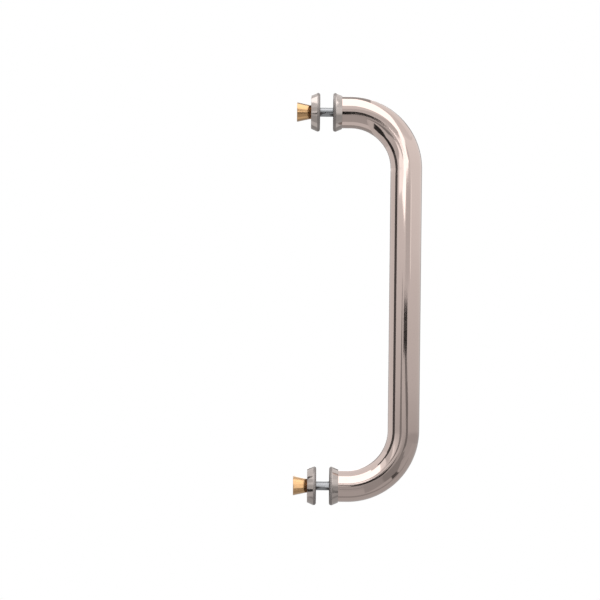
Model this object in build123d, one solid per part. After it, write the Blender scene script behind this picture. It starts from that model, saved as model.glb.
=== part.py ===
"""Tubular D pull handle for a glass door, with the fittings that clamp it to the pane.

The grip and both legs are one bent tube. A threaded plug closes each end of the tube and takes a
stud. The stud crosses the pane between two dished roses: the inner rose seats the tube's end, and
the outer rose is its mirror image, clamped by a flared brass cone that is screwed onto the stud.

Frame: +Z runs up the grip, and +X runs from the pane out to the grip. The origin lies midway
between the studs, on the plane where the inner roses meet the glass.
"""

import os

from build123d import *

# Bent tube
HOLE_CENTRES = 300.0  # between the two studs, and so between the centrelines of the legs
TUBE_OD = 25.4
TUBE_WALL = 1.2
BEND_RADIUS = 45.0  # of the tube's centreline
LEG_STRAIGHT = 9.0  # from the tube's end to the start of its bend

# Dished roses
ROSE_FLOOR = 5.2  # solid web between the glass and the end of the tube
SEAT_DEPTH = 2.0  # recess that takes the end of the tube
ROSE_LIP = 0.6  # radial width of the lip round the recess
ROSE_FLARE = 2.1  # radial, from the lip out to the rim
ROSE_RIM = 2.4  # width of the rim beside the glass
RIM_ROUND = 1.6  # bullnose of the rim on its glass side
SHOULDER_ROUND = 0.6  # where the rim turns into the cone of the rose

# Studs
STUD_THREAD = 8.0  # outside diameter of the threaded ends
SHANK_RELIEF = 0.4  # radial, from the thread down to the plain shank between the roses
STUD_CHAMFER = 0.8
STUD_SETBACK = 1.0  # from the end of the stud to the end of the plug

# Brass cones
CONE_LENGTH = 13.3
CONE_WALL = 1.05  # radial, round the thread at the narrow end
CONE_FLARE = 2.9  # radial, from the narrow end out to the wide end
CONE_ROUND = 0.3  # broken edge of the wide end
SLOT_WIDTH = 1.6  # driver slot across the wide end
SLOT_DEPTH = 2.0

# Fits
GLASS_GAP = 10.5  # between the roses: the pane and a thin gasket on each side
SEAT_CLEARANCE = 0.1  # radial, between the tube and its recess
BORE_CLEARANCE = 0.25  # radial, between the stud and the bore of a rose
THREAD_CLEARANCE = 0.05  # radial, between a stud and the threads that hold it
PLUG_CLEARANCE = 0.05  # radial, between a plug and the inside of the tube
BEND_CLEARANCE = 0.3  # from the plug to the start of the bend
DRIVER_CLEARANCE = 0.5  # from the floor of the driver slot to the end of the stud

# Sizes that follow from those above
hole_height = HOLE_CENTRES / 2
tube_id = TUBE_OD - 2 * TUBE_WALL
bend_start = ROSE_FLOOR + LEG_STRAIGHT
grip_x = bend_start + BEND_RADIUS

seat_d = TUBE_OD + 2 * SEAT_CLEARANCE
lip_d = seat_d + 2 * ROSE_LIP
rose_d = lip_d + 2 * ROSE_FLARE
rose_depth = ROSE_FLOOR + SEAT_DEPTH
rose_bore = STUD_THREAD + 2 * BORE_CLEARANCE
lip_round = ROSE_LIP / 2

plug_d = tube_id - 2 * PLUG_CLEARANCE
plug_end = bend_start - BEND_CLEARANCE
thread_bore = STUD_THREAD + 2 * THREAD_CLEARANCE

cone_narrow_d = thread_bore + 2 * CONE_WALL
cone_wide_d = cone_narrow_d + 2 * CONE_FLARE
cone_seat = -GLASS_GAP - ROSE_FLOOR
cone_end = cone_seat - CONE_LENGTH

shank_d = STUD_THREAD - 2 * SHANK_RELIEF
stud_inner_end = plug_end - STUD_SETBACK
stud_outer_end = cone_end + SLOT_DEPTH + DRIVER_CLEARANCE


def turned(corners):
    """Revolve a closed half section about the X axis; each corner is (x, diameter, rounding)."""
    points = [(x, diameter / 2) for x, diameter, _ in corners]
    roundings = [rounding for _, _, rounding in corners]
    outline = FilletPolyline(points, radius=roundings, close=True)
    return revolve(make_face(outline), Axis.X)


def handle_tube():
    """Grip, bends and legs: one hollow tube along straight runs and tangent arcs."""
    route = FilletPolyline(
        (ROSE_FLOOR, 0, hole_height),
        (grip_x, 0, hole_height),
        (grip_x, 0, -hole_height),
        (ROSE_FLOOR, 0, -hole_height),
        radius=BEND_RADIUS,
    )
    section = Circle(TUBE_OD / 2) - Circle(tube_id / 2)
    return sweep(Plane(route @ 0, z_dir=route % 0) * section, route)


def end_plug():
    """Threaded plug, flush with the end of the tube and short of its bend."""
    return turned(
        [
            (ROSE_FLOOR, thread_bore, 0),
            (ROSE_FLOOR, plug_d, 0),
            (plug_end, plug_d, 0),
            (plug_end, thread_bore, 0),
        ]
    )


def rose():
    """Dished rose with its flat face on the glass at x = 0 and its recess towards +X."""
    return turned(
        [
            (0, rose_bore, 0),
            (0, rose_d, RIM_ROUND),
            (ROSE_RIM, rose_d, SHOULDER_ROUND),
            (rose_depth, lip_d, lip_round),
            (rose_depth, seat_d, 0),
            (ROSE_FLOOR, seat_d, 0),
            (ROSE_FLOOR, rose_bore, 0),
        ]
    )


def stud():
    """Double-ended stud: a plain shank across the pane, with a thread from each rose outwards."""
    chamfered_d = STUD_THREAD - 2 * STUD_CHAMFER
    return turned(
        [
            (stud_outer_end, 0, 0),
            (stud_outer_end, chamfered_d, 0),
            (stud_outer_end + STUD_CHAMFER, STUD_THREAD, 0),
            (-GLASS_GAP - SHANK_RELIEF, STUD_THREAD, 0),
            (-GLASS_GAP, shank_d, 0),
            (0, shank_d, 0),
            (SHANK_RELIEF, STUD_THREAD, 0),
            (stud_inner_end - STUD_CHAMFER, STUD_THREAD, 0),
            (stud_inner_end, chamfered_d, 0),
            (stud_inner_end, 0, 0),
        ]
    )


def cone():
    """Flared brass nut, seated in the outer rose, with a driver slot across its wide end."""
    body = turned(
        [
            (cone_seat, thread_bore, 0),
            (cone_seat, cone_narrow_d, 0),
            (cone_end, cone_wide_d, CONE_ROUND),
            (cone_end, thread_bore, 0),
        ]
    )
    slot = Box(SLOT_DEPTH, SLOT_WIDTH, cone_wide_d, align=(Align.MIN, Align.CENTER, Align.CENTER))
    return body - Pos(cone_end, 0, 0) * slot


def fittings():
    """One set of fittings about the X axis, named for its place from the tube to the far side."""
    outer_place = Pos(-GLASS_GAP, 0, 0) * Rot(0, 180, 0)
    return {
        "end_plug": end_plug(),
        "inner_rose": rose(),
        "stud": stud(),
        "outer_rose": outer_place * rose(),
        "cone": cone(),
    }


pieces = {"handle_tube": handle_tube()}
for end, height in (("upper", hole_height), ("lower", -hole_height)):
    for name, piece in fittings().items():
        pieces[f"{end}_{name}"] = Pos(0, 0, height) * piece

os.makedirs("parts", exist_ok=True)
for name, piece in pieces.items():
    export_step(piece, f"parts/{name}.step")
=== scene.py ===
"""Looks of a tubular D pull handle for a glass door.

The tube and its four roses are buffed stainless steel, the studs are zinc-plated and the cones that
clamp the outer roses are lacquered brass. Sizes are in millimetres until a mesh is made, in metres.
"""

import logging
import math
from dataclasses import dataclass
from enum import Enum
from typing import Any, ClassVar, Sequence

import bmesh
import bpy
from mathutils import Matrix, Vector


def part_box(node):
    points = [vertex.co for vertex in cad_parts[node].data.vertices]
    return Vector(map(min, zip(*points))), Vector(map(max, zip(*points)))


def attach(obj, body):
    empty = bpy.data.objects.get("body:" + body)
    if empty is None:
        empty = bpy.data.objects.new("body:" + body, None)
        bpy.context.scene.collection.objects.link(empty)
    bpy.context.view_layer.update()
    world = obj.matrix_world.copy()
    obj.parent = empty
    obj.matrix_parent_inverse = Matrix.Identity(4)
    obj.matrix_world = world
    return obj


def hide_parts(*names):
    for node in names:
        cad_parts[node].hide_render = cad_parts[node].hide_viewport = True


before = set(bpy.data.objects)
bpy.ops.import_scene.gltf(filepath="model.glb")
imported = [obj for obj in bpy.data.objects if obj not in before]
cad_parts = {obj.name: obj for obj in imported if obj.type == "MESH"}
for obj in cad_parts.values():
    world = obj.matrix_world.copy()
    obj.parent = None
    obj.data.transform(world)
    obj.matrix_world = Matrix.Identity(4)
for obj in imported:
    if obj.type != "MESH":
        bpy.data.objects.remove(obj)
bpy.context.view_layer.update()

LOG = logging.getLogger("glass_door_handle")
MM = 0.001
BODY = "root"
WELD_DISTANCE = 0.0005 * MM
SHARP_EDGE = math.radians(32.0)
ROUNDING_SEGMENTS = 6
WHITE = (1.0, 1.0, 1.0, 1.0)

# Sockets of a Mix node that mixes two colours
MIX_SHARE, MIX_FIRST, MIX_SECOND, MIX_RESULT = 0, 6, 7, 2

Point = tuple[float, float, float]
Span = tuple[float, float]
Edges = list[bmesh.types.BMEdge]


class End(Enum):
    """The two ends of the handle, as a direction along Z from its middle."""

    UPPER = 1
    LOWER = -1

    def node(self, piece: str) -> str:
        """Name of this end's node for one kind of piece."""
        return f"{self.name.lower()}_{piece}"


class GlassSide(Enum):
    """The two sides of the pane, by the kind of rose that lies on each."""

    NEAR = "inner_rose"
    FAR = "outer_rose"


def linear(colour: str) -> tuple[float, float, float, float]:
    """Turn an sRGB hex colour into linear light.

    Args:
        colour: a hash sign and six hex digits.

    Returns:
        Red, green and blue, with an alpha of 1.
    """
    channels = [int(colour[start : start + 2], 16) / 255 for start in (1, 3, 5)]
    red, green, blue = (c / 12.92 if c <= 0.04045 else ((c + 0.055) / 1.055) ** 2.4 for c in channels)
    return red, green, blue, 1.0


def add_node(
    tree: bpy.types.NodeTree,
    kind: str,
    settings: dict[str, Any] | None = None,
    inputs: dict[str | int, Any] | None = None,
) -> bpy.types.Node:
    """Add a node to a tree, set it up and link it.

    Args:
        tree: the tree that takes the node.
        kind: the node's type, without its ShaderNode prefix.
        settings: values of the node's own properties, by name.
        inputs: for each input, by name or number, a value or the output that feeds it.

    Returns:
        The new node.
    """
    node = tree.nodes.new("ShaderNode" + kind)
    for name, value in (settings or {}).items():
        setattr(node, name, value)
    for key, value in (inputs or {}).items():
        if isinstance(value, bpy.types.NodeSocket):
            tree.links.new(value, node.inputs[key])
        else:
            node.inputs[key].default_value = value
    return node


def new_material(name: str) -> bpy.types.Material:
    """Make a material with an empty node tree.

    Args:
        name: the material's name.

    Returns:
        The new material.
    """
    material = bpy.data.materials.new(name)
    material.use_nodes = True
    material.node_tree.nodes.clear()
    return material


@dataclass(frozen=True)
class Finish:
    """A worked metal: two close tones, a range of gloss, and fine lines on a slow swell."""

    # Layers of ever finer detail in the noise of each pattern
    TONE_DETAIL: ClassVar[float] = 3.0
    HAZE_DETAIL: ClassVar[float] = 5.0
    SWELL_DETAIL: ClassVar[float] = 1.0
    LINE_DETAIL: ClassVar[float] = 2.0

    HAZE_SPAN: ClassVar[Span] = (0.3, 0.7)  # values of the noise where the gloss has its two limits
    LACQUER_ROUGHNESS: ClassVar[float] = 0.15

    name: str
    tone: str
    second_tone: str
    tone_mm: float  # size of the patches of each tone
    roughness: Span
    haze_mm: float  # size of the duller patches
    line_mm: float  # spacing of the fine lines, drawn coarser than real ones so that they show
    line_run_mm: float  # how long a line runs
    line_depth_mm: float
    swell_mm: float
    swell_depth_mm: float
    lacquer: float = 0.0  # share of the surface under a clear coat

    def material(self) -> bpy.types.Material:
        """Build the finish on the piece's own coordinates.

        Returns:
            A metal whose tone, gloss and relief vary over the piece.
        """
        material = new_material(self.name)
        tree = material.node_tree
        place = add_node(tree, "TexCoord").outputs["Object"]
        metal = add_node(
            tree,
            "BsdfPrincipled",
            inputs={
                "Base Color": self.tones(tree, place),
                "Metallic": 1.0,
                "Roughness": self.haze(tree, place),
                "Normal": self.relief(tree, place),
                "Coat Weight": self.lacquer,
                "Coat Roughness": self.LACQUER_ROUGHNESS,
            },
        )
        add_node(tree, "OutputMaterial", inputs={"Surface": metal.outputs["BSDF"]})
        return material

    def tones(self, tree: bpy.types.NodeTree, place: bpy.types.NodeSocket) -> bpy.types.NodeSocket:
        """Drift between the two tones.

        Args:
            tree: the material's tree.
            place: the piece's coordinates.

        Returns:
            The colour of the metal.
        """
        cloud = add_node(
            tree,
            "TexNoise",
            inputs={"Vector": place, "Scale": 1 / (self.tone_mm * MM), "Detail": self.TONE_DETAIL},
        )
        mix = add_node(
            tree,
            "Mix",
            {"data_type": "RGBA"},
            {
                MIX_SHARE: cloud.outputs["Fac"],
                MIX_FIRST: linear(self.tone),
                MIX_SECOND: linear(self.second_tone),
            },
        )
        return mix.outputs[MIX_RESULT]

    def haze(self, tree: bpy.types.NodeTree, place: bpy.types.NodeSocket) -> bpy.types.NodeSocket:
        """Vary the gloss in soft patches.

        Args:
            tree: the material's tree.
            place: the piece's coordinates.

        Returns:
            The roughness of the metal.
        """
        cloud = add_node(
            tree,
            "TexNoise",
            inputs={"Vector": place, "Scale": 1 / (self.haze_mm * MM), "Detail": self.HAZE_DETAIL},
        )
        spread = add_node(
            tree,
            "MapRange",
            inputs={
                "Value": cloud.outputs["Fac"],
                "From Min": self.HAZE_SPAN[0],
                "From Max": self.HAZE_SPAN[1],
                "To Min": self.roughness[0],
                "To Max": self.roughness[1],
            },
        )
        return spread.outputs["Result"]

    def line_scale(self) -> Point:
        """Lines for each metre along X, Y and Z, where the lines run along Z."""
        across = 1 / (self.line_mm * MM)
        return across, across, 1 / (self.line_run_mm * MM)

    def relief(self, tree: bpy.types.NodeTree, place: bpy.types.NodeSocket) -> bpy.types.NodeSocket:
        """Raise the fine lines on the swell.

        Args:
            tree: the material's tree.
            place: the piece's coordinates.

        Returns:
            The normal that shows both.
        """
        swell = add_node(
            tree,
            "TexNoise",
            inputs={"Vector": place, "Scale": 1 / (self.swell_mm * MM), "Detail": self.SWELL_DETAIL},
        )
        swollen = add_node(
            tree,
            "Bump",
            inputs={"Distance": self.swell_depth_mm * MM, "Height": swell.outputs["Fac"]},
        )
        drawn = add_node(tree, "Mapping", inputs={"Vector": place, "Scale": self.line_scale()})
        lines = add_node(
            tree,
            "TexNoise",
            inputs={"Vector": drawn.outputs["Vector"], "Scale": 1.0, "Detail": self.LINE_DETAIL},
        )
        lined = add_node(
            tree,
            "Bump",
            inputs={
                "Distance": self.line_depth_mm * MM,
                "Height": lines.outputs["Fac"],
                "Normal": swollen.outputs["Normal"],
            },
        )
        return lined.outputs["Normal"]


@dataclass(frozen=True)
class TurnedFinish(Finish):
    """A metal worked on a lathe: its fine lines are rings, stacked along X."""

    def line_scale(self) -> Point:
        """Lines for each metre along X, Y and Z, where the lines run round X."""
        along = 1 / (self.line_run_mm * MM)
        return 1 / (self.line_mm * MM), along, along


# Stainless steel tube, drawn, bent and buffed on a wheel: a near mirror with a faint pink-grey cast,
# in which straight reflections wander a little.
BUFFED_TUBE = Finish(
    name="buffed_stainless_steel_tube",
    tone="#CDBCB5",
    second_tone="#C4B2AB",
    tone_mm=60.0,
    roughness=(0.05, 0.085),
    haze_mm=9.0,
    line_mm=0.9,
    line_run_mm=30.0,
    line_depth_mm=0.001,
    swell_mm=40.0,
    swell_depth_mm=0.018,
)

# Stainless steel roses, turned and then buffed: greyer than the tube, with the last rings of the lathe.
BUFFED_ROSE = TurnedFinish(
    name="buffed_stainless_steel_rose",
    tone="#BEB4AF",
    second_tone="#B1A7A2",
    tone_mm=18.0,
    roughness=(0.09, 0.15),
    haze_mm=5.0,
    line_mm=0.7,
    line_run_mm=22.0,
    line_depth_mm=0.001,
    swell_mm=14.0,
    swell_depth_mm=0.01,
)

# The rim of a rose beside the glass, turned and rough: an even grey that mirrors nothing, made darker as
# painted shade for the dark line along the rim.
RIM_PAINTED_SHADE = TurnedFinish(
    name="rim_with_painted_shade",
    tone="#98918E",
    second_tone="#8B8481",
    tone_mm=14.0,
    roughness=(0.5, 0.62),
    haze_mm=4.0,
    line_mm=0.35,
    line_run_mm=20.0,
    line_depth_mm=0.002,
    swell_mm=14.0,
    swell_depth_mm=0.004,
)

# Zinc plate over rolled steel: a neutral grey with a soft sheen and a slight bloom.
ZINC_PLATE = TurnedFinish(
    name="zinc_plated_steel",
    tone="#9C9D9F",
    second_tone="#8F9092",
    tone_mm=9.0,
    roughness=(0.18, 0.26),
    haze_mm=4.0,
    line_mm=0.6,
    line_run_mm=14.0,
    line_depth_mm=0.0006,
    swell_mm=9.0,
    swell_depth_mm=0.002,
)

# Free-cutting brass, turned bright and lacquered: a yellow metal that shows the rings of the tool, with
# paler highlights on the clear coat.
LACQUERED_BRASS = TurnedFinish(
    name="lacquered_turned_brass",
    tone="#C99F6E",
    second_tone="#BC915F",
    tone_mm=8.0,
    roughness=(0.16, 0.26),
    haze_mm=4.0,
    line_mm=0.5,
    line_run_mm=30.0,
    line_depth_mm=0.0012,
    swell_mm=12.0,
    swell_depth_mm=0.003,
    lacquer=1.0,
)

# Mild steel, turned and left bare inside the tube: dull grey with open tool marks.
TURNED_STEEL = TurnedFinish(
    name="turned_mild_steel",
    tone="#9A9793",
    second_tone="#85817C",
    tone_mm=6.0,
    roughness=(0.35, 0.5),
    haze_mm=3.0,
    line_mm=0.5,
    line_run_mm=25.0,
    line_depth_mm=0.005,
    swell_mm=9.0,
    swell_depth_mm=0.004,
)


def turn(corners: Sequence[Point], steps: int, closed: bool = True) -> bmesh.types.BMesh:
    """Turn a half section about the X axis, as on a lathe.

    Args:
        corners: each corner's place along X, its distance from the axis and the radius of its rounding.
        steps: how many flats make the full turn.
        closed: whether the last corner joins the first.

    Returns:
        The turned skin.
    """
    bm = bmesh.new()
    points = [bm.verts.new((x * MM, 0.0, r * MM)) for x, r, _ in corners]
    following = points[1:] + points[:1]
    for start, stop in zip(points, following if closed else points[1:]):
        bm.edges.new((start, stop))
    reaches = []
    for before, point, after, corner in zip(points[-1:] + points[:-1], points, following, corners):
        bend = (point.co - before.co).angle(after.co - point.co)
        reaches.append(corner[2] * math.tan(bend / 2))
    for point, reach in zip(points, reaches):
        if reach > 0.0:
            bmesh.ops.bevel(
                bm,
                geom=[point],
                offset=reach * MM,
                offset_type="OFFSET",
                segments=ROUNDING_SEGMENTS,
                profile=0.5,
                affect="VERTICES",
                material=-1,
            )
    bmesh.ops.spin(
        bm,
        geom=bm.verts[:] + bm.edges[:],
        cent=(0.0, 0.0, 0.0),
        axis=(1.0, 0.0, 0.0),
        angle=math.tau,
        steps=steps,
        use_merge=True,
    )
    return bm


def ring(bm: bmesh.types.BMesh, x: float, radius: float, steps: int) -> Edges:
    """Add a ring of edges round the X axis.

    Args:
        bm: the mesh that takes the ring.
        x: its place along X.
        radius: its radius.
        steps: how many edges it has.

    Returns:
        The edges of the ring.
    """
    place = Matrix.Translation((x * MM, 0.0, 0.0)) @ Matrix.Rotation(math.pi / 2, 4, "Y")
    made = bmesh.ops.create_circle(bm, segments=steps, radius=radius * MM, matrix=place)
    return list(dict.fromkeys(edge for vert in made["verts"] for edge in vert.link_edges))


def open_edges(bm: bmesh.types.BMesh, x: float) -> Edges:
    """Find the open edges of a skin at one place along X.

    Args:
        bm: the mesh to search.
        x: the place along X.

    Returns:
        The edges there that have only one face.
    """
    return [
        edge
        for edge in bm.edges
        if edge.is_boundary and all(abs(vert.co.x - x * MM) < WELD_DISTANCE for vert in edge.verts)
    ]


@dataclass(frozen=True)
class ThreadForm:
    """A 60 degree metric thread, whose turns all start from the same plane."""

    crest_r: float
    pitch: float = 1.25
    flank_deg: float = 30.0  # slope of each side of the tooth
    lead_in: int = 2  # turns made before the start, which are cut away
    run_out: int = 1  # turns made past the stop, which are cut away
    steps: int = 64

    def skin(self, start: float, stop: float, clearance: float = 0.0) -> bmesh.types.BMesh:
        """Spin one tooth along its helix, and cut the thread to length.

        Args:
            start: where the thread starts along X.
            stop: where it stops.
            clearance: how far the skin stands out from the thread, as in a nut.

        Returns:
            The threaded skin, open at both ends.
        """
        crest = self.pitch / 8
        root = self.pitch / 4
        flank = (self.pitch - crest - root) / 2
        crest_r = self.crest_r + clearance
        root_r = crest_r - flank / math.tan(math.radians(self.flank_deg))
        tooth = (
            (0.0, root_r),
            (root, root_r),
            (root + flank, crest_r),
            (root + flank + crest, crest_r),
            (self.pitch, root_r),
        )
        first_turn = math.floor(start / self.pitch) - self.lead_in
        turns = math.ceil(stop / self.pitch) + self.run_out - first_turn
        bm = bmesh.new()
        points = [bm.verts.new(((first_turn * self.pitch + x) * MM, 0.0, r * MM)) for x, r in tooth]
        edges = [bm.edges.new(pair) for pair in zip(points, points[1:])]
        bmesh.ops.spin(
            bm,
            geom=points + edges,
            cent=(0.0, 0.0, 0.0),
            axis=(1.0, 0.0, 0.0),
            dvec=(self.pitch * MM / self.steps, 0.0, 0.0),
            angle=math.tau * turns,
            steps=self.steps * turns,
        )
        bmesh.ops.remove_doubles(bm, verts=bm.verts[:], dist=WELD_DISTANCE)
        for place, outwards in ((start, -1.0), (stop, 1.0)):
            bmesh.ops.bisect_plane(
                bm,
                geom=bm.verts[:] + bm.edges[:] + bm.faces[:],
                plane_co=(place * MM, 0.0, 0.0),
                plane_no=(outwards, 0.0, 0.0),
                clear_outer=True,
            )
        return bm


def add_skin(bm: bmesh.types.BMesh, skin: bmesh.types.BMesh) -> None:
    """Copy one mesh into another and free it.

    Args:
        bm: the mesh that takes the copy.
        skin: the mesh that is copied.
    """
    scratch = bpy.data.meshes.new("skin")
    skin.to_mesh(scratch)
    skin.free()
    bm.from_mesh(scratch)
    bpy.data.meshes.remove(scratch)


def weld(bm: bmesh.types.BMesh) -> None:
    """Merge what meets, and turn every face outwards.

    Args:
        bm: a mesh that encloses a solid.
    """
    bmesh.ops.remove_doubles(bm, verts=bm.verts[:], dist=WELD_DISTANCE)
    bmesh.ops.recalc_face_normals(bm, faces=bm.faces[:])


def cut(blank: bmesh.types.BMesh, cutter: bmesh.types.BMesh) -> bmesh.types.BMesh:
    """Take one solid away from another.

    Args:
        blank: the solid that is cut, which is freed.
        cutter: the solid that is taken away, which is freed.

    Returns:
        What is left of the blank.
    """
    objects = []
    for name, bm in (("blank", blank), ("cutter", cutter)):
        mesh = bpy.data.meshes.new(name)
        bm.to_mesh(mesh)
        bm.free()
        objects.append(bpy.data.objects.new(name, mesh))
        bpy.context.scene.collection.objects.link(objects[-1])
    work, tool = objects
    boolean = work.modifiers.new("cut", "BOOLEAN")
    boolean.operation = "DIFFERENCE"
    boolean.solver = "EXACT"
    boolean.object = tool
    left = work.evaluated_get(bpy.context.evaluated_depsgraph_get()).to_mesh()
    bm = bmesh.new()
    bm.from_mesh(left)
    for scratch in objects:
        bpy.data.meshes.remove(scratch.data)
    return bm


@dataclass
class Piece:
    """One piece of the handle, modelled to stand for its node."""

    SLOT: ClassVar[str]
    MADE: ClassVar[str]  # how the surface was made, which ends the piece's name

    node: str

    def shape(self) -> bmesh.types.BMesh:
        """Model the piece where it belongs."""
        raise NotImplementedError

    def build(self) -> bpy.types.Object:
        """Make the piece's object, which rides on the handle.

        Returns:
            The object, at the origin.
        """
        bm = self.shape()
        weld(bm)
        mesh = bpy.data.meshes.new(f"{self.node}_{self.MADE}")
        bm.to_mesh(mesh)
        bm.free()
        mesh.shade_smooth()
        mesh.set_sharp_from_angle(angle=SHARP_EDGE)
        piece = bpy.data.objects.new(mesh.name, mesh)
        bpy.context.scene.collection.objects.link(piece)
        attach(piece, BODY)
        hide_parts(self.node)
        return piece

    def dress(self, piece: bpy.types.Object, finish: bpy.types.Material) -> None:
        """Give the piece its finish.

        Args:
            piece: the piece's object.
            finish: the material of its surface.
        """
        piece.data.materials.clear()
        piece.data.materials.append(finish)
        LOG.info("%s: %d faces in %s", piece.name, len(piece.data.polygons), finish.name)


@dataclass
class BentTube(Piece):
    """Grip, bends and legs: one hollow tube."""

    SLOT: ClassVar[str] = "polished_steel"
    MADE: ClassVar[str] = "buffed"

    end_x: float
    grip_x: float
    leg_z: float
    outer_r: float
    wall: float = 1.2
    bend_radius: float = 45.0
    ring_steps: int = 128
    bend_steps: int = 48

    @classmethod
    def from_frame(cls, node: str) -> "BentTube":
        """Read the tube's sizes from its node.

        Args:
            node: the node's name.

        Returns:
            The tube at its real size.
        """
        low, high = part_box(node)
        outer_r = high.y / MM
        return cls(
            node=node,
            end_x=low.x / MM,
            grip_x=high.x / MM - outer_r,
            leg_z=high.z / MM - outer_r,
            outer_r=outer_r,
        )

    def pull(self, bm: bmesh.types.BMesh, edges: Edges, way: Point) -> Edges:
        """Extrude a ring along a straight run.

        Args:
            bm: the mesh that holds the ring.
            edges: the edges of the ring.
            way: how far the run goes.

        Returns:
            The edges at the end of the run.
        """
        made = bmesh.ops.extrude_edge_only(bm, edges=edges)["geom"]
        moved = [item for item in made if isinstance(item, bmesh.types.BMVert)]
        bmesh.ops.translate(bm, verts=moved, vec=Vector(way) * MM)
        ends = set(moved)
        return [e for e in made if isinstance(e, bmesh.types.BMEdge) and ends.issuperset(e.verts)]

    def bend(self, bm: bmesh.types.BMesh, edges: Edges, centre: Point) -> Edges:
        """Spin a ring through a quarter turn.

        Args:
            bm: the mesh that holds the ring.
            edges: the edges of the ring.
            centre: the centre of the bend.

        Returns:
            The edges at the end of the bend.
        """
        verts = list(dict.fromkeys(vert for edge in edges for vert in edge.verts))
        made = bmesh.ops.spin(
            bm,
            geom=verts + edges,
            cent=Vector(centre) * MM,
            axis=(0.0, 1.0, 0.0),
            angle=math.pi / 2,
            steps=self.bend_steps,
        )
        return [item for item in made["geom_last"] if isinstance(item, bmesh.types.BMEdge)]

    def skin(self, bm: bmesh.types.BMesh, radius: float) -> Edges:
        """Draw a ring along the tube's route, from its upper end to its lower end.

        Args:
            bm: the mesh that takes the skin.
            radius: the radius of the ring.

        Returns:
            The edges of both open ends.
        """
        bend_x = self.grip_x - self.bend_radius
        bend_z = self.leg_z - self.bend_radius
        leg = bend_x - self.end_x
        first = ring(bm, self.end_x, radius, self.ring_steps)
        verts = list(dict.fromkeys(vert for edge in first for vert in edge.verts))
        bmesh.ops.translate(bm, verts=verts, vec=(0.0, 0.0, self.leg_z * MM))
        edges = self.pull(bm, first, (leg, 0.0, 0.0))
        edges = self.bend(bm, edges, (bend_x, 0.0, bend_z))
        edges = self.pull(bm, edges, (0.0, 0.0, -2 * bend_z))
        edges = self.bend(bm, edges, (bend_x, 0.0, -bend_z))
        return first + self.pull(bm, edges, (-leg, 0.0, 0.0))

    def shape(self) -> bmesh.types.BMesh:
        """Join an outer and an inner skin at the tube's two ends.

        Returns:
            The tube's mesh.
        """
        bm = bmesh.new()
        rims = self.skin(bm, self.outer_r) + self.skin(bm, self.outer_r - self.wall)
        for end in End:
            bmesh.ops.bridge_loops(bm, edges=[e for e in rims if e.verts[0].co.z * end.value > 0])
        return bm


@dataclass
class Rose(Piece):
    """Dished rose: flat on the glass, with a recess for the end of a tube."""

    SLOT: ClassVar[str] = "polished_steel"
    MADE: ClassVar[str] = "buffed"

    side: GlassSide
    glass_x: float
    z: float
    depth: float
    rim_r: float
    rim: float = 2.4  # width of the rim beside the glass
    flare: float = 2.1  # radial, from the lip out to the rim
    lip: float = 0.6  # radial width of the lip round the recess
    seat_depth: float = 2.0
    bore_r: float = 4.25
    rim_round: float = 1.6
    shoulder_round: float = 0.6
    lip_round: float = 0.3
    painted_shade_to: float = 2.1  # how far from the glass the rim takes its painted shade
    bore_edge: float = 0.6  # radial, round the bore, where the painted shade stops
    steps: int = 128

    @classmethod
    def from_frame(cls, end: End, side: GlassSide) -> "Rose":
        """Read a rose's size and place from its node.

        Args:
            end: the end of the handle.
            side: the side of the pane.

        Returns:
            The rose at its real size.
        """
        node = end.node(side.value)
        low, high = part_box(node)
        glass = low.x if side is GlassSide.NEAR else high.x
        return cls(
            node=node,
            side=side,
            glass_x=glass / MM,
            z=(low.z + high.z) / 2 / MM,
            depth=(high.x - low.x) / MM,
            rim_r=high.y / MM,
        )

    def shape(self) -> bmesh.types.BMesh:
        """Turn the rose, and lay it on its side of the pane.

        Returns:
            The rose's mesh.
        """
        lip_r = self.rim_r - self.flare
        seat_r = lip_r - self.lip
        floor = self.depth - self.seat_depth
        bm = turn(
            (
                (0.0, self.bore_r, 0.0),
                (0.0, self.rim_r, self.rim_round),
                (self.rim, self.rim_r, self.shoulder_round),
                (self.depth, lip_r, self.lip_round),
                (self.depth, seat_r, 0.0),
                (floor, seat_r, 0.0),
                (floor, self.bore_r, 0.0),
            ),
            self.steps,
        )
        about = Matrix.Rotation(0.0 if self.side is GlassSide.NEAR else math.pi, 4, "Z")
        place = Matrix.Translation(Vector((self.glass_x, 0.0, self.z)) * MM)
        bmesh.ops.transform(bm, matrix=place @ about, verts=bm.verts[:])
        return bm

    def paint_rim_shade(self, piece: bpy.types.Object, finish: bpy.types.Material) -> None:
        """Give the rim and the flat side beside the glass a darker material of their own, as painted
        shade.

        Args:
            piece: the rose's object, which already has its main finish.
            finish: the material of the rim, whose darker grey is painted shade.
        """
        piece.data.materials.append(finish)
        painted_shade_from = self.bore_r + self.bore_edge
        # The faces beside the glass, apart from a ring round the bore, take the rim's painted shade.
        for face in piece.data.polygons:
            out = math.hypot(face.center.y, face.center.z - self.z * MM) / MM
            if abs(face.center.x / MM - self.glass_x) < self.painted_shade_to and out > painted_shade_from:
                face.material_index = 1


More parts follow.
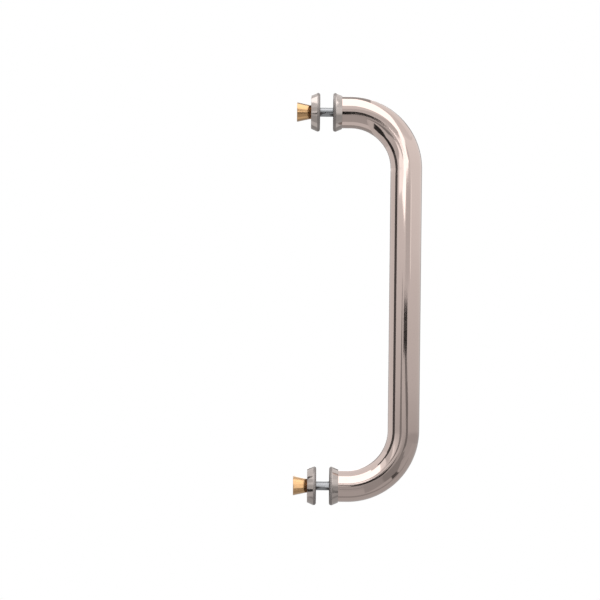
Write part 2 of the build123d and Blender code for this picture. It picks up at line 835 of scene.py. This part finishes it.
@dataclass
class Stud(Piece):
    """Double-ended stud: a plain shank across the pane between two threads."""

    SLOT: ClassVar[str] = "zinc_steel"
    MADE: ClassVar[str] = "plated"

    z: float
    far_tip: float
    near_tip: float
    far_shank: float
    near_shank: float
    thread: ThreadForm
    relief: float = 0.4  # radial, from the thread down to the shank
    chamfer: float = 0.8

    @classmethod
    def from_frame(cls, end: End) -> "Stud":
        """Read a stud's size and place from its node and from the roses beside its shank.

        Args:
            end: the end of the handle.

        Returns:
            The stud at its real size.
        """
        node = end.node("stud")
        low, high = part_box(node)
        return cls(
            node=node,
            z=(low.z + high.z) / 2 / MM,
            far_tip=low.x / MM,
            near_tip=high.x / MM,
            far_shank=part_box(end.node(GlassSide.FAR.value))[1].x / MM,
            near_shank=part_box(end.node(GlassSide.NEAR.value))[0].x / MM,
            thread=ThreadForm(crest_r=high.y / MM),
        )

    def shape(self) -> bmesh.types.BMesh:
        """Roll the two threads, and join them by the shank.

        Returns:
            The stud's mesh.
        """
        bm = bmesh.new()
        steps = self.thread.steps
        shank_r = self.thread.crest_r - self.relief
        tip_r = self.thread.crest_r - self.chamfer
        shank: Edges = []
        sides = ((self.far_tip, self.far_shank, 1), (self.near_tip, self.near_shank, -1))
        for tip, shank_end, inwards in sides:
            first = tip + inwards * self.chamfer
            last = shank_end - inwards * self.relief
            add_skin(bm, self.thread.skin(min(first, last), max(first, last)))
            tip_ring = ring(bm, tip, tip_r, steps)
            shank_ring = ring(bm, shank_end, shank_r, steps)
            bmesh.ops.bridge_loops(bm, edges=open_edges(bm, first) + tip_ring)
            bmesh.ops.bridge_loops(bm, edges=open_edges(bm, last) + shank_ring)
            bmesh.ops.holes_fill(bm, edges=tip_ring, sides=0)
            shank += shank_ring
        bmesh.ops.bridge_loops(bm, edges=shank)
        bmesh.ops.translate(bm, verts=bm.verts[:], vec=(0.0, 0.0, self.z * MM))
        return bm


@dataclass
class ConeNut(Piece):
    """Flared brass nut, threaded along its bore, with a driver slot across its wide end."""

    SLOT: ClassVar[str] = "brass"
    MADE: ClassVar[str] = "turned"

    z: float
    wide_x: float
    seat_x: float
    wide_r: float
    thread: ThreadForm
    flare: float = 2.9  # radial, from the narrow end out to the wide end
    edge_round: float = 0.3
    thread_clearance: float = 0.05
    mouth: float = 0.2  # radial, from the thread out to the mouth of the bore
    slot_width: float = 1.6
    slot_depth: float = 2.0
    steps: int = 128

    @classmethod
    def from_frame(cls, end: End, thread: ThreadForm) -> "ConeNut":
        """Read a cone's size and place from its node.

        Args:
            end: the end of the handle.
            thread: the thread of the stud that it is screwed on.

        Returns:
            The cone at its real size.
        """
        node = end.node("cone")
        low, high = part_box(node)
        return cls(
            node=node,
            z=(low.z + high.z) / 2 / MM,
            wide_x=low.x / MM,
            seat_x=high.x / MM,
            wide_r=high.y / MM,
            thread=thread,
        )

    def blank(self) -> bmesh.types.BMesh:
        """Turn the flared outside, and join it to the threaded bore.

        Returns:
            The cone before its slot is cut, on the X axis.
        """
        mouth_r = self.thread.crest_r + self.thread_clearance + self.mouth
        bm = turn(
            (
                (self.seat_x, mouth_r, 0.0),
                (self.seat_x, self.wide_r - self.flare, 0.0),
                (self.wide_x, self.wide_r, self.edge_round),
                (self.wide_x, mouth_r, 0.0),
            ),
            self.steps,
            closed=False,
        )
        add_skin(bm, self.thread.skin(self.wide_x, self.seat_x, self.thread_clearance))
        for x in (self.wide_x, self.seat_x):
            bmesh.ops.bridge_loops(bm, edges=open_edges(bm, x))
        weld(bm)
        return bm

    def shape(self) -> bmesh.types.BMesh:
        """Cut the driver slot out of the blank.

        Returns:
            The cone's mesh.
        """
        cutter = bmesh.new()
        # The cutter stands out past the wide end and past both sides of the cone.
        size = Matrix.Diagonal((2 * self.slot_depth * MM, self.slot_width * MM, 3 * self.wide_r * MM, 1.0))
        place = Matrix.Translation((self.wide_x * MM, 0.0, 0.0))
        bmesh.ops.create_cube(cutter, size=1.0, matrix=place @ size)
        bm = cut(self.blank(), cutter)
        bmesh.ops.translate(bm, verts=bm.verts[:], vec=(0.0, 0.0, self.z * MM))
        return bm


@dataclass
class EndPlug(Piece):
    """Plug in the end of the tube, where nothing shows: its node keeps its own mesh."""

    SLOT: ClassVar[str] = "plug_steel"
    MADE: ClassVar[str] = "turned"

    def build(self) -> bpy.types.Object:
        """Take the node as it is."""
        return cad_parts[self.node]


def stage_object(name: str, bm: bmesh.types.BMesh, material: bpy.types.Material) -> bpy.types.Object:
    """Add a thing of the studio.

    Args:
        name: its name.
        bm: its mesh, which is freed.
        material: its surface.

    Returns:
        The object.
    """
    mesh = bpy.data.meshes.new(name)
    bm.to_mesh(mesh)
    bm.free()
    mesh.materials.append(material)
    thing = bpy.data.objects.new(name, mesh)
    bpy.context.scene.collection.objects.link(thing)
    return thing


def only_in_metal(thing: bpy.types.Object, is_lamp: bool = False) -> None:
    """Let a thing of the studio be seen in reflections and nowhere else.

    Args:
        thing: the thing's object.
        is_lamp: whether it lights matt surfaces too.
    """
    thing.visible_camera = False
    thing.visible_diffuse = is_lamp
    thing.visible_shadow = False


@dataclass(frozen=True)
class Card:
    """A card or sheet of the studio, hung between two edges, which the metal mirrors."""

    name: str
    first_edge: tuple[Point, ...]
    second_edge: tuple[Point, ...]  # lies to the left of the first, as the front is seen
    light: float
    back_light: float | None = None  # where the back differs from the front
    is_lamp: bool = False  # whether it lights matt surfaces too

    @classmethod
    def upright(cls, name: str, x: Span, y: float, z: Span, light: float) -> "Card":
        """Stand a rectangle square to the camera.

        Args:
            name: the card's name.
            x: its left and right sides.
            y: its place, negative on the camera's side of the handle.
            z: its foot and head.
            light: how bright it is.

        Returns:
            The card.
        """
        foot, head = (tuple((side, y, height) for side in x) for height in z)
        return cls(name, foot, head, light)

    @classmethod
    def level(cls, name: str, x: Span, y: Span, z: float, light: float) -> "Card":
        """Lay a rectangle level.

        Args:
            name: the card's name.
            x: its left and right sides.
            y: its front and rear.
            z: its height.
            light: how bright it is.

        Returns:
            The card.
        """
        front, rear = (tuple((side, place, z) for side in x) for place in y)
        return cls(name, front, rear, light)

    def build(self) -> None:
        """Span the card between its edges."""
        bm = bmesh.new()
        first, second = (
            [bm.verts.new(Vector(point) * MM) for point in edge]
            for edge in (self.first_edge, self.second_edge)
        )
        for k in range(len(first) - 1):
            bm.faces.new((first[k], first[k + 1], second[k + 1], second[k]))
        only_in_metal(stage_object(self.name, bm, self.glow()), self.is_lamp)

    def glow(self) -> bpy.types.Material:
        """Light of the card's two sides.

        Returns:
            A material that glows.
        """
        material = new_material(self.name)
        tree = material.node_tree
        behind = add_node(tree, "NewGeometry").outputs["Backfacing"]
        back = self.light if self.back_light is None else self.back_light
        strength = add_node(
            tree,
            "MapRange",
            inputs={"Value": behind, "To Min": self.light, "To Max": back},
        )
        light = add_node(
            tree,
            "Emission",
            inputs={"Color": WHITE, "Strength": strength.outputs["Result"]},
        )
        add_node(tree, "OutputMaterial", inputs={"Surface": light.outputs["Emission"]})
        return material


@dataclass(frozen=True)
class Wall:
    """Bowed wall round part of the handle, with a light that changes with its height."""

    name: str
    from_deg: float  # from the camera's side of the handle, positive to the grip's side
    to_deg: float
    levels: tuple[tuple[float, float], ...]  # height and light, from the foot to the head
    radius: float = 1200.0
    steps: int = 64

    def build(self) -> None:
        """Spin an upright edge round the handle."""
        bm = bmesh.new()
        ends = [bm.verts.new((0.0, -self.radius * MM, self.levels[k][0] * MM)) for k in (0, -1)]
        edge = bm.edges.new(ends)
        bmesh.ops.rotate(
            bm,
            verts=ends,
            cent=(0.0, 0.0, 0.0),
            matrix=Matrix.Rotation(math.radians(self.from_deg), 3, "Z"),
        )
        bmesh.ops.spin(
            bm,
            geom=ends + [edge],
            cent=(0.0, 0.0, 0.0),
            axis=(0.0, 0.0, 1.0),
            angle=math.radians(self.to_deg - self.from_deg),
            steps=self.steps,
        )
        only_in_metal(stage_object(self.name, bm, self.glow()))

    def glow(self) -> bpy.types.Material:
        """Light of the wall by its height.

        Returns:
            A material that glows.
        """
        material = new_material(self.name)
        tree = material.node_tree
        place = add_node(tree, "TexCoord").outputs["Object"]
        height = add_node(tree, "SeparateXYZ", inputs={"Vector": place}).outputs["Z"]
        foot, head = self.levels[0][0], self.levels[-1][0]
        share = add_node(
            tree,
            "MapRange",
            inputs={"Value": height, "From Min": foot * MM, "From Max": head * MM},
        )
        ramp = add_node(tree, "ValToRGB", inputs={"Fac": share.outputs["Result"]})
        stops = ramp.color_ramp.elements
        for z, _ in self.levels[1:-1]:
            stops.new((z - foot) / (head - foot))
        for stop, (_, level) in zip(stops, self.levels):
            stop.color = (level, level, level, 1.0)
        light = add_node(tree, "Emission", inputs={"Color": ramp.outputs["Color"]})
        add_node(tree, "OutputMaterial", inputs={"Surface": light.outputs["Emission"]})
        return material


@dataclass(frozen=True)
class Floor:
    """Pale floor below the handle, which fades into the background."""

    z: float = -300.0
    radius: float = 720.0
    solid_to: float = 300.0  # radius where it starts to fade
    colour: str = "#EDECEA"
    steps: int = 96

    def build(self) -> None:
        """Lay the floor."""
        bm = bmesh.new()
        bmesh.ops.create_circle(
            bm,
            cap_ends=True,
            segments=self.steps,
            radius=self.radius * MM,
            matrix=Matrix.Translation((0.0, 0.0, self.z * MM)),
        )
        stage_object("studio_floor", bm, self.surface())

    def surface(self) -> bpy.types.Material:
        """Matt paint that thins out towards the edge of the floor.

        Returns:
            The floor's material.
        """
        material = new_material("matt_painted_floor")
        tree = material.node_tree
        place = add_node(tree, "TexCoord").outputs["Object"]
        flat = add_node(tree, "VectorMath", {"operation": "MULTIPLY"}, {0: place, 1: (1.0, 1.0, 0.0)})
        reach = add_node(tree, "VectorMath", {"operation": "LENGTH"}, {0: flat.outputs["Vector"]})
        fade = add_node(
            tree,
            "MapRange",
            {"interpolation_type": "SMOOTHSTEP"},
            {
                "Value": reach.outputs["Value"],
                "From Min": self.solid_to * MM,
                "From Max": self.radius * MM,
            },
        )
        paint = add_node(tree, "BsdfDiffuse", inputs={"Color": linear(self.colour)})
        nothing = add_node(tree, "BsdfTransparent")
        mix = add_node(
            tree,
            "MixShader",
            inputs={0: fade.outputs["Result"], 1: paint.outputs["BSDF"], 2: nothing.outputs["BSDF"]},
        )
        add_node(tree, "OutputMaterial", inputs={"Surface": mix.outputs["Shader"]})
        return material


# What stands round the handle, in the reflections alone. A light of 1 is white paper, and each comment
# says what the card gives in the metal.
CARDS: tuple[Card, ...] = (
    # White canopy over the handle, round to the front on the right and down: the white of all that
    # faces up, which runs round the upper bend into the grip.
    Card(
        "canopy",
        (
            (-450, -460, 650),
            (60, -470, 650),
            (416, -828, 650),
            (458, -963, 477),
            (283, -1000, 299),
            (57, -1000, 152),
        ),
        (
            (-450, 230, 650),
            (60, 230, 650),
            (415, -150, 650),
            (634, -647, 625),
            (600, -830, 440),
            (330, -1000, 225),
        ),
        2.2,
        is_lamp=True,
    ),
    # Brighter flap on the left: the glare on the upper outer rose.
    Card(
        "left_flap",
        ((-720, -60, 500), (-640, 300, 560), (-480, 600, 540), (-300, 800, 420)),
        ((-640, -60, 680), (-540, 280, 760), (-420, 560, 740), (-260, 740, 600)),
        2.8,
    ),
    # White strips in front, one of them close by: the head of the grip.
    Card(
        "brow",
        (
            (-440, -930, 107),
            (-300, -1000, 98),
            (-200, -1000, 86),
            (-60, -1000, 84),
            (50, -1000, 134),
            (300, -1000, 142),
        ),
        (
            (-440, -930, 182),
            (-300, -1000, 180),
            (-200, -1000, 172),
            (-60, -1000, 164),
            (50, -1000, 156),
            (300, -1000, 215),
        ),
        2.2,
    ),
    Card(
        "brow_left",
        ((-900, -700, 111), (-440, -930, 107)),
        ((-900, -700, 185), (-440, -930, 182)),
        1.3,
    ),
    Card(
        "brow_near",
        ((-130, -150, 88), (-12, -150, 92), (6, -150, 106)),
        ((-130, -150, 111), (-12, -150, 111), (6, -150, 111)),
        1.6,
    ),
    # Grey shelf under the strips, edge on to the grip: it hides them from the lower bend.
    Card(
        "brow_shelf",
        ((-283, -640, 98), (-171, -640, 88), (-107, -640, 77), (-43, -640, 76)),
        ((-440, -930, 106), (-300, -995, 97), (-200, -995, 85), (-100, -995, 84)),
        0.85,
    ),
    # Hood in front, black above and white below, with a black lip: a dark line high up, a white band
    # low down.
    Card(
        "hood",
        ((-205, -740, 150), (42, -740, 150)),
        ((-205, -130, 112), (16, -130, 112)),
        0.02,
        back_light=2.2,
    ),
    Card.upright("hood_lip", (-40, 42), -740, (150, 210), 0.02),
    # Paler end of the hood: the white band of the lower bend fades into the grip.
    Card(
        "hood_left",
        ((-300, -740, 150), (-205, -740, 150)),
        ((-300, -130, 112), (-205, -130, 112)),
        0.8,
        back_light=1.25,
    ),
    # Wing of the hood, to the right of the grip: the light side of the lower cone and rose.
    Card(
        "wing",
        ((90, -800, 150), (240, -800, 150)),
        ((90, -240, 150), (240, -520, 150)),
        0.6,
        back_light=2.2,
    ),
    # Three plates close below the upper leg: its grey and pale lower bands, and the pale band that
    # lies above the white of the lower leg.
    Card(
        "plate_front",
        ((-420, -60, 118), (17.5, -60, 118)),
        ((-420, -16, 118), (19.5, -16, 118)),
        0.55,
        back_light=1.05,
    ),
    Card(
        "plate_middle",
        ((-420, -16, 118), (19.5, -16, 118)),
        ((-420, 0, 118), (21, 0, 118)),
        0.85,
        back_light=1.05,
    ),
    Card(
        "plate_rear",
        ((-420, 0, 118), (21, 0, 118)),
        ((-420, 400, 118), (60, 400, 118)),
        0.45,
        back_light=1.05,
    ),
    # Black flag on the left and the black drape at its foot: the dark line along the inner side of
    # the grip, and its tongue in the upper bend.
    Card("flag", ((-763, -366, -900), (-841, -31, -900)), ((-763, -366, 760), (-841, -31, 760)), 0.1),
    Card(
        "drape",
        (
            (-763, -400, -150),
            (-740, -410, -296),
            (-687, -390, -296),
            (-454, -290, -296),
            (-304, -500, -296),
            (-190, -640, -296),
        ),
        (
            (-763, -60, -150),
            (-740, -50, -296),
            (-687, -30, -296),
            (-430, -70, -296),
            (-305, -45, -296),
            (-218, -130, -296),
        ),
        0.04,
    ),
    # Black camera in front: the dark streak in the middle of the grip.
    Card.upright("camera_front", (-90, 390), -1000, (-57, 0), 0.03),
    # Black bar low in front: the stripe under the white of the lower bend.
    Card.upright("low_bar", (19, 54), -200, (-158, -128), 0.04),
    # Two slanted stand legs, wider at the foot: the dark lines in the lower part of the grip.
    Card(
        "stand_leg_left",
        ((-310, -600, -180), (-66, -600, -180)),
        ((-173, -600, 22), (-149, -600, 22)),
        0.32,
    ),
    Card(
        "stand_leg_right",
        ((330, -1000, -297), (380, -1000, -141), (100, -1000, -57)),
        ((640, -1000, -297), (780, -1000, -141), (330, -1000, -57)),
        0.25,
    ),
    # Grey card and a pale strip beside it: two upright bands in the upper part of the grip.
    Card.upright("grey_card", (62, 680), -1000, (20, 132), 0.74),
    Card("pale_strip", ((640, -820, 30), (690, -780, 30)), ((640, -820, 130), (690, -780, 130)), 1.4),
    # Grey boards laid over one another on the floor, with dark gaps: the lower side of all that is
    # round, and the faint lines along the lower leg.
    Card.level("board_left", (-700, -120), (-900, 1100), -297, 0.75),
    Card.level("board_front", (-700, 900), (-900, -200), -298, 0.54),
    Card.level("board_near", (-700, 900), (-200, 60), -298, 0.58),
    Card.level("front_gap", (-120, 420), (-430, -350), -296, 0.38),
    Card.level("near_gap", (-120, 420), (-40, -5), -296, 0.4),
    # Darker boards in front on the right, with a block on them: the dark band down the middle of the
    # lower bend, and the mark in it.
    Card(
        "board_dark",
        ((150, -990, -295), (200, -990, -295), (300, -990, -295), (420, -980, -295)),
        ((150, -130, -295), (240, -120, -295), (340, -350, -295), (494, -652, -295)),
        0.34,
    ),
    Card(
        "board_middle",
        ((70, -990, -295), (150, -990, -295)),
        ((70, -60, -295), (150, -130, -295)),
        0.45,
    ),
    Card("block", ((192, -150, -294), (238, -150, -294)), ((188, -40, -294), (242, -40, -294)), 0.12),
    # Small white card close to the lower fittings: the light on the lower stud and cone.
    Card.upright("fill_low", (-14, 7), -60, (-185, -120), 1.7),
    # Board and ceiling behind, the ceiling paler on the right: the edges of all that is round.
    Card.level("board_rear", (-700, 900), (60, 1100), -298, 0.56),
    Card(
        "ceiling_rear",
        ((-60, 62, 655), (180, 62, 655)),
        ((-60, 1150, 690), (180, 1150, 690)),
        0.5,
    ),
    Card(
        "ceiling_right",
        ((180, 62, 655), (1000, 62, 655)),
        ((180, 1150, 690), (1000, 1150, 690)),
        1.12,
    ),
    # White strip upright behind: a line of light on the back of the grip.
    Card.upright("strip_rear", (-160, 160), 1100, (-250, 560), 1.8),
)

WALL_FOOT = -900.0
WALL_HEAD = 700.0

# Height and light of both front walls, from the lower end of the handle upwards
FRONT_LEVELS = (
    (-135.0, 0.66),
    (-90.0, 0.76),
    (0.0, 0.86),
    (110.0, 1.0),
    (330.0, 0.78),
    (WALL_HEAD, 0.78),
)

# Walls all round, those in front paler towards the head of the grip: the slow shading along the grip.
WALLS: tuple[Wall, ...] = (
    Wall("wall_front_left", -64.0, -14.0, ((WALL_FOOT, 0.7), (-200.0, 0.7)) + FRONT_LEVELS),
    Wall("wall_front", -14.0, 30.0, ((WALL_FOOT, 0.48), (-200.0, 0.52)) + FRONT_LEVELS),
    Wall(
        "wall_right",
        30.0,
        145.0,
        (
            (WALL_FOOT, 0.48),
            (-200.0, 0.52),
            (-135.0, 0.66),
            (-90.0, 0.77),
            (0.0, 0.87),
            (110.0, 1.04),
            (WALL_HEAD, 1.15),
        ),
    ),
    Wall("wall_left", -150.0, -90.0, ((WALL_FOOT, 0.9), (WALL_HEAD, 0.9))),
    Wall("wall_rear", 145.0, 210.0, ((WALL_FOOT, 0.45), (WALL_HEAD, 0.45))),
)


@dataclass(frozen=True)
class Studio:
    """White surroundings, the cards that the metal mirrors, the floor and the camera."""

    ambient: float = 0.55  # light of the surroundings on matt surfaces
    photo_px: int = 600
    mm_per_px: float = 0.8031
    origin_px: tuple[float, float] = (331.1, 298.8)  # where the frame's origin lies in the photo
    distance: float = 3000.0
    sensor: float = 36.0
    roll_deg: float = 0.63  # how far the handle leans in the photo
    cards: tuple[Card, ...] = CARDS
    walls: tuple[Wall, ...] = WALLS

    def surroundings(self) -> None:
        """Make the world white to the camera and in the metal, and softer on matt surfaces."""
        world = bpy.data.worlds.new("white_studio")
        world.use_nodes = True
        tree = world.node_tree
        tree.nodes.clear()
        ray = add_node(tree, "LightPath").outputs
        mirrored = add_node(
            tree,
            "Math",
            {"operation": "MAXIMUM"},
            {0: ray["Is Glossy Ray"], 1: ray["Is Transmission Ray"]},
        )
        seen = add_node(
            tree,
            "Math",
            {"operation": "MAXIMUM"},
            {0: ray["Is Camera Ray"], 1: mirrored.outputs["Value"]},
        )
        strength = add_node(
            tree,
            "MapRange",
            inputs={"Value": seen.outputs["Value"], "To Min": self.ambient, "To Max": 1.0},
        )
        light = add_node(
            tree,
            "Background",
            inputs={"Color": WHITE, "Strength": strength.outputs["Result"]},
        )
        add_node(tree, "OutputWorld", inputs={"Surface": light.outputs["Background"]})
        bpy.context.scene.world = world

    def camera(self) -> None:
        """Set the camera square to the plane of the handle, framed as the photo is."""
        data = bpy.data.cameras.new("photo_camera")
        data.sensor_width = self.sensor
        data.lens = self.sensor * self.distance / (self.photo_px * self.mm_per_px)
        camera = bpy.data.objects.new("photo_camera", data)
        bpy.context.scene.collection.objects.link(camera)
        middle = self.photo_px / 2
        x = (middle - self.origin_px[0]) * self.mm_per_px
        z = (self.origin_px[1] - middle) * self.mm_per_px
        place = Matrix.Translation(Vector((x, -self.distance, z)) * MM)
        level = Matrix.Rotation(math.pi / 2, 4, "X")
        camera.matrix_world = place @ level @ Matrix.Rotation(math.radians(self.roll_deg), 4, "Z")
        bpy.context.scene.camera = camera

    def build(self) -> None:
        """Set up the whole studio."""
        self.surroundings()
        Floor().build()
        for part in self.walls + self.cards:
            part.build()
        self.camera()
        bpy.context.scene.view_settings.view_transform = "Standard"
        LOG.info("studio: %d walls, %d cards, a floor and a camera", len(self.walls), len(self.cards))


def main() -> None:
    """Build and dress the pieces in order, then the studio round them."""
    logging.basicConfig(level=logging.INFO, format="%(message)s")
    tube = BentTube.from_frame("handle_tube")
    tube.dress(tube.build(), BUFFED_TUBE.material())
    rose_steel = BUFFED_ROSE.material()
    # The rim's darker grey is painted shade.
    rim_shade_material = RIM_PAINTED_SHADE.material()
    zinc = ZINC_PLATE.material()
    brass = LACQUERED_BRASS.material()
    bare_steel = TURNED_STEEL.material()
    for end in End:
        for side in GlassSide:
            rose = Rose.from_frame(end, side)
            dressed = rose.build()
            rose.dress(dressed, rose_steel)
            rose.paint_rim_shade(dressed, rim_shade_material)
        stud = Stud.from_frame(end)
        stud.dress(stud.build(), zinc)
        cone = ConeNut.from_frame(end, stud.thread)
        cone.dress(cone.build(), brass)
        plug = EndPlug(end.node("end_plug"))
        plug.dress(plug.build(), bare_steel)
    Studio().build()


if __name__ == "__main__":
    main()
